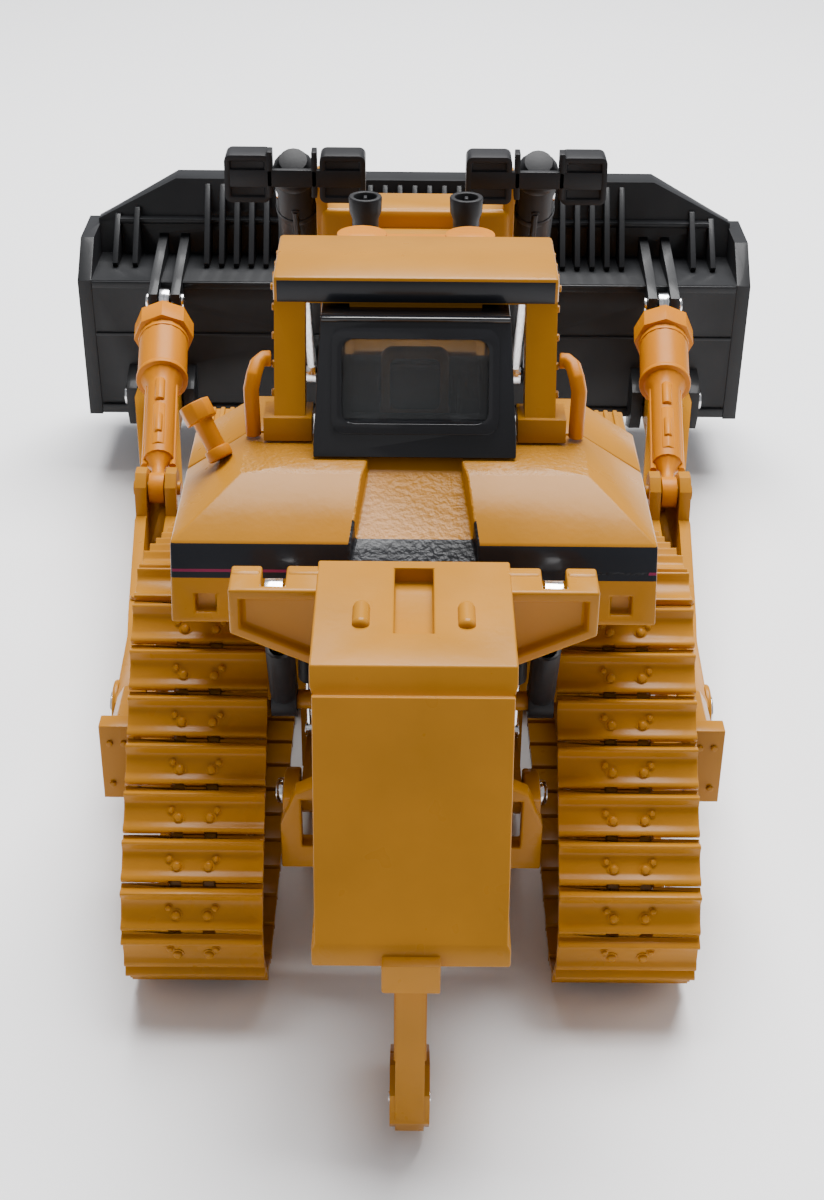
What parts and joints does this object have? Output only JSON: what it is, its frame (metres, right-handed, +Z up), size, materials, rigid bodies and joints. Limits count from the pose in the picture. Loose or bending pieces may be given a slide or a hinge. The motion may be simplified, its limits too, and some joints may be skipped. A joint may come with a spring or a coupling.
{
  "type": "toy bulldozer",
  "caption": "Die-cast toy crawler bulldozer with elevated sprockets, a lifting and pitching blade on push arms, and a raising single-shank ripper.",
  "frame": {"origin": "on the ground under the middle of the toy's bounding box", "axes": "+X to the machine's right, +Y forward from ripper to blade, +Z up"},
  "size_m": [0.1342, 0.217, 0.0908],
  "materials": {
    "yellow_enamel": "gloss enamel over die-cast metal",
    "yellow_plastic": "satin moulded plastic",
    "black_paint": "satin black paint over die-cast metal",
    "black_plastic": "satin black plastic",
    "gloss_black": "gloss black plastic",
    "bright_metal": "plated pins and rods",
    "smoked_clear": "clear smoked plastic",
    "tan_plastic": "matt tan plastic"
  },
  "bodies": {
    "machine": {"chassis": "yellow_enamel", "cross_beam": "yellow_enamel", "fuel_tank": "yellow_enamel", "engine_hood": "yellow_enamel", "radiator_guard": "yellow_enamel", "cab_shell": "gloss_black", "cab_glazing": "smoked_clear", "operator_seat": "tan_plastic", "control_console": "black_plastic", "rops_canopy": "yellow_enamel", "roof_air_unit": "yellow_plastic", "fuel_filler": "yellow_plastic", "fender_left": "yellow_enamel", "fender_right": "yellow_enamel", "exhaust_stack_left": "black_plastic", "exhaust_stack_right": "black_plastic", "handrail_left": "yellow_plastic", "handrail_right": "yellow_plastic", "track_frame_left": "yellow_enamel", "track_frame_right": "yellow_enamel", "track_belt_left": "yellow_enamel", "track_belt_right": "yellow_enamel", "trunnion_guard_left": "yellow_enamel", "trunnion_guard_right": "yellow_enamel", "final_drive_left": "yellow_enamel", "final_drive_right": "yellow_enamel"},
    "push_frame": {"push_arm_left": "yellow_enamel", "push_arm_right": "yellow_enamel"},
    "blade": {"blade": "black_paint", "cutting_edge": "black_paint"},
    "ripper_link": {"ripper_link": "yellow_enamel"},
    "ripper_carriage": {"ripper_carriage": "yellow_enamel"},
    "ripper_shank": {"ripper_shank": "yellow_enamel"},
    "brace_barrel_left": {"brace_barrel_left": "yellow_plastic"},
    "brace_rod_left": {"brace_rod_left": "bright_metal"},
    "lift_barrel_left": {"lift_barrel_left": "black_plastic", "work_lamps_left": "black_plastic"},
    "lift_rod_left": {"lift_rod_left": "bright_metal"},
    "sprocket_left": {"sprocket_left": "yellow_enamel"},
    "rear_idler_left": {"rear_idler_left": "yellow_enamel"},
    "front_idler_left": {"front_idler_left": "yellow_enamel"},
    "brace_barrel_right": {"brace_barrel_right": "yellow_plastic"},
    "brace_rod_right": {"brace_rod_right": "bright_metal"},
    "lift_barrel_right": {"lift_barrel_right": "black_plastic", "work_lamps_right": "black_plastic"},
    "lift_rod_right": {"lift_rod_right": "bright_metal"},
    "sprocket_right": {"sprocket_right": "yellow_enamel"},
    "rear_idler_right": {"rear_idler_right": "yellow_enamel"},
    "front_idler_right": {"front_idler_right": "yellow_enamel"},
    "ripper_tilt_barrel_left": {"ripper_tilt_left_barrel": "black_plastic"},
    "ripper_tilt_rod_left": {"ripper_tilt_left_rod": "bright_metal"},
    "ripper_lift_barrel_left": {"ripper_lift_left_barrel": "black_plastic"},
    "ripper_lift_rod_left": {"ripper_lift_left_rod": "bright_metal"},
    "ripper_tilt_barrel_right": {"ripper_tilt_right_barrel": "black_plastic"},
    "ripper_tilt_rod_right": {"ripper_tilt_right_rod": "bright_metal"},
    "ripper_lift_barrel_right": {"ripper_lift_right_barrel": "black_plastic"},
    "ripper_lift_rod_right": {"ripper_lift_right_rod": "bright_metal"}
  },
  "joints": [
    {"name": "push_frame_lift", "type": "hinge", "parent": "machine", "child": "push_frame", "pos_m": [0, -0.035, 0.0173], "axis": [1, 0, 0], "range_deg": [-5.3, 8]},
    {"name": "blade_pitch", "type": "hinge", "parent": "push_frame", "child": "blade", "pos_m": [0, 0.0745, 0.0195], "axis": [1, 0, 0], "range_deg": [-4, 4]},
    {"name": "brace_swing_left", "type": "hinge", "parent": "push_frame", "child": "brace_barrel_left", "pos_m": [-0.045, 0.0179, 0.0276], "axis": [1, 0, 0], "range_deg": [-0.5, 0.5]},
    {"name": "brace_extend_left", "type": "slide", "parent": "brace_barrel_left", "child": "brace_rod_left", "axis": [-0.0746, 0.9693, 0.2343], "range_m": [-0.002, 0.002]},
    {"name": "lift_swing_left", "type": "hinge", "parent": "machine", "child": "lift_barrel_left", "pos_m": [-0.0206, 0.0365, 0.076], "axis": [1, 0, 0], "range_deg": [-6, 8.5]},
    {"name": "lift_extend_left", "type": "slide", "parent": "lift_barrel_left", "child": "lift_rod_left", "axis": [0, 0.5907, -0.8069], "range_m": [-0.0135, 0.009]},
    {"name": "sprocket_spin_left", "type": "hinge", "parent": "machine", "child": "sprocket_left", "pos_m": [-0.029, -0.0484, 0.036], "axis": [1, 0, 0], "continuous": true},
    {"name": "rear_idler_spin_left", "type": "hinge", "parent": "machine", "child": "rear_idler_left", "pos_m": [-0.029, -0.0735, 0.0127], "axis": [1, 0, 0], "continuous": true},
    {"name": "front_idler_spin_left", "type": "hinge", "parent": "machine", "child": "front_idler_left", "pos_m": [-0.029, 0.0154, 0.0127], "axis": [1, 0, 0], "continuous": true},
    {"name": "brace_swing_right", "type": "hinge", "parent": "push_frame", "child": "brace_barrel_right", "pos_m": [0.045, 0.0179, 0.0276], "axis": [1, 0, 0], "range_deg": [-0.5, 0.5]},
    {"name": "brace_extend_right", "type": "slide", "parent": "brace_barrel_right", "child": "brace_rod_right", "axis": [0.0746, 0.9693, 0.2343], "range_m": [-0.002, 0.002]},
    {"name": "lift_swing_right", "type": "hinge", "parent": "machine", "child": "lift_barrel_right", "pos_m": [0.0206, 0.0365, 0.076], "axis": [1, 0, 0], "range_deg": [-6, 8.5]},
    {"name": "lift_extend_right", "type": "slide", "parent": "lift_barrel_right", "child": "lift_rod_right", "axis": [0, 0.5907, -0.8069], "range_m": [-0.0135, 0.009]},
    {"name": "sprocket_spin_right", "type": "hinge", "parent": "machine", "child": "sprocket_right", "pos_m": [0.029, -0.0484, 0.036], "axis": [1, 0, 0], "continuous": true},
    {"name": "rear_idler_spin_right", "type": "hinge", "parent": "machine", "child": "rear_idler_right", "pos_m": [0.029, -0.0735, 0.0127], "axis": [1, 0, 0], "continuous": true},
    {"name": "front_idler_spin_right", "type": "hinge", "parent": "machine", "child": "front_idler_right", "pos_m": [0.029, 0.0154, 0.0127], "axis": [1, 0, 0], "continuous": true},
    {"name": "ripper_raise", "type": "hinge", "parent": "machine", "child": "ripper_link", "pos_m": [0, -0.0475, 0.024], "axis": [-1, 0, 0], "range_deg": [-6, 15]},
    {"name": "ripper_level", "type": "hinge", "parent": "ripper_link", "child": "ripper_carriage", "pos_m": [0, -0.0695, 0.027], "axis": [-1, 0, 0], "range_deg": [-15.5, 6.5]},
    {"name": "ripper_shank_slide", "type": "slide", "parent": "ripper_carriage", "child": "ripper_shank", "axis": [0, 0.1846, 0.9828], "range_m": [0, 0.008]},
    {"name": "ripper_tilt_swing_left", "type": "hinge", "parent": "machine", "child": "ripper_tilt_barrel_left", "pos_m": [-0.0171, -0.0665, 0.04], "axis": [1, 0, 0], "range_deg": [-8, 3.5]},
    {"name": "ripper_tilt_extend_left", "type": "slide", "parent": "ripper_tilt_barrel_left", "child": "ripper_tilt_rod_left", "axis": [0, -0.4409, 0.8976], "range_m": [-0.0022, 0.005]},
    {"name": "ripper_lift_swing_left", "type": "hinge", "parent": "machine", "child": "ripper_lift_barrel_left", "pos_m": [-0.0138, -0.0595, 0.0495], "axis": [1, 0, 0], "range_deg": [-3.2, 7.2]},
    {"name": "ripper_lift_extend_left", "type": "slide", "parent": "ripper_lift_barrel_left", "child": "ripper_lift_rod_left", "axis": [0, 0, -1], "range_m": [-0.0033, 0.0014]},
    {"name": "ripper_tilt_swing_right", "type": "hinge", "parent": "machine", "child": "ripper_tilt_barrel_right", "pos_m": [0.0171, -0.0665, 0.04], "axis": [1, 0, 0], "range_deg": [-8, 3.5]},
    {"name": "ripper_tilt_extend_right", "type": "slide", "parent": "ripper_tilt_barrel_right", "child": "ripper_tilt_rod_right", "axis": [0, -0.4409, 0.8976], "range_m": [-0.0022, 0.005]},
    {"name": "ripper_lift_swing_right", "type": "hinge", "parent": "machine", "child": "ripper_lift_barrel_right", "pos_m": [0.0138, -0.0595, 0.0495], "axis": [1, 0, 0], "range_deg": [-3.2, 7.2]},
    {"name": "ripper_lift_extend_right", "type": "slide", "parent": "ripper_lift_barrel_right", "child": "ripper_lift_rod_right", "axis": [0, 0, -1], "range_m": [-0.0033, 0.0014]}
  ],
  "couplings": [
    {"joint": "brace_swing_left", "follows": "blade_pitch", "ratio": 0.0543},
    {"joint": "brace_extend_left", "follows": "blade_pitch", "m_per_rad": -0.02116},
    {"joint": "lift_swing_left", "follows": "push_frame_lift", "ratio": 0.9697},
    {"joint": "lift_extend_left", "follows": "push_frame_lift", "m_per_rad": -0.09238},
    {"joint": "rear_idler_spin_left", "follows": "sprocket_spin_left", "ratio": 1.2069},
    {"joint": "front_idler_spin_left", "follows": "sprocket_spin_left", "ratio": 1.2069},
    {"joint": "brace_swing_right", "follows": "blade_pitch", "ratio": 0.0543},
    {"joint": "brace_extend_right", "follows": "blade_pitch", "m_per_rad": -0.02116},
    {"joint": "lift_swing_right", "follows": "push_frame_lift", "ratio": 0.9697},
    {"joint": "lift_extend_right", "follows": "push_frame_lift", "m_per_rad": -0.09238},
    {"joint": "rear_idler_spin_right", "follows": "sprocket_spin_right", "ratio": 1.2069},
    {"joint": "front_idler_spin_right", "follows": "sprocket_spin_right", "ratio": 1.2069},
    {"joint": "ripper_level", "follows": "ripper_raise", "ratio": -1},
    {"joint": "ripper_tilt_swing_left", "follows": "ripper_raise", "ratio": -0.4892},
    {"joint": "ripper_tilt_extend_left", "follows": "ripper_raise", "m_per_rad": 0.017817},
    {"joint": "ripper_lift_swing_left", "follows": "ripper_raise", "ratio": 0.4542},
    {"joint": "ripper_lift_extend_left", "follows": "ripper_raise", "m_per_rad": -0.010982},
    {"joint": "ripper_tilt_swing_right", "follows": "ripper_raise", "ratio": -0.4892},
    {"joint": "ripper_tilt_extend_right", "follows": "ripper_raise", "m_per_rad": 0.017817},
    {"joint": "ripper_lift_swing_right", "follows": "ripper_raise", "ratio": 0.4542},
    {"joint": "ripper_lift_extend_right", "follows": "ripper_raise", "m_per_rad": -0.010982}
  ]
}
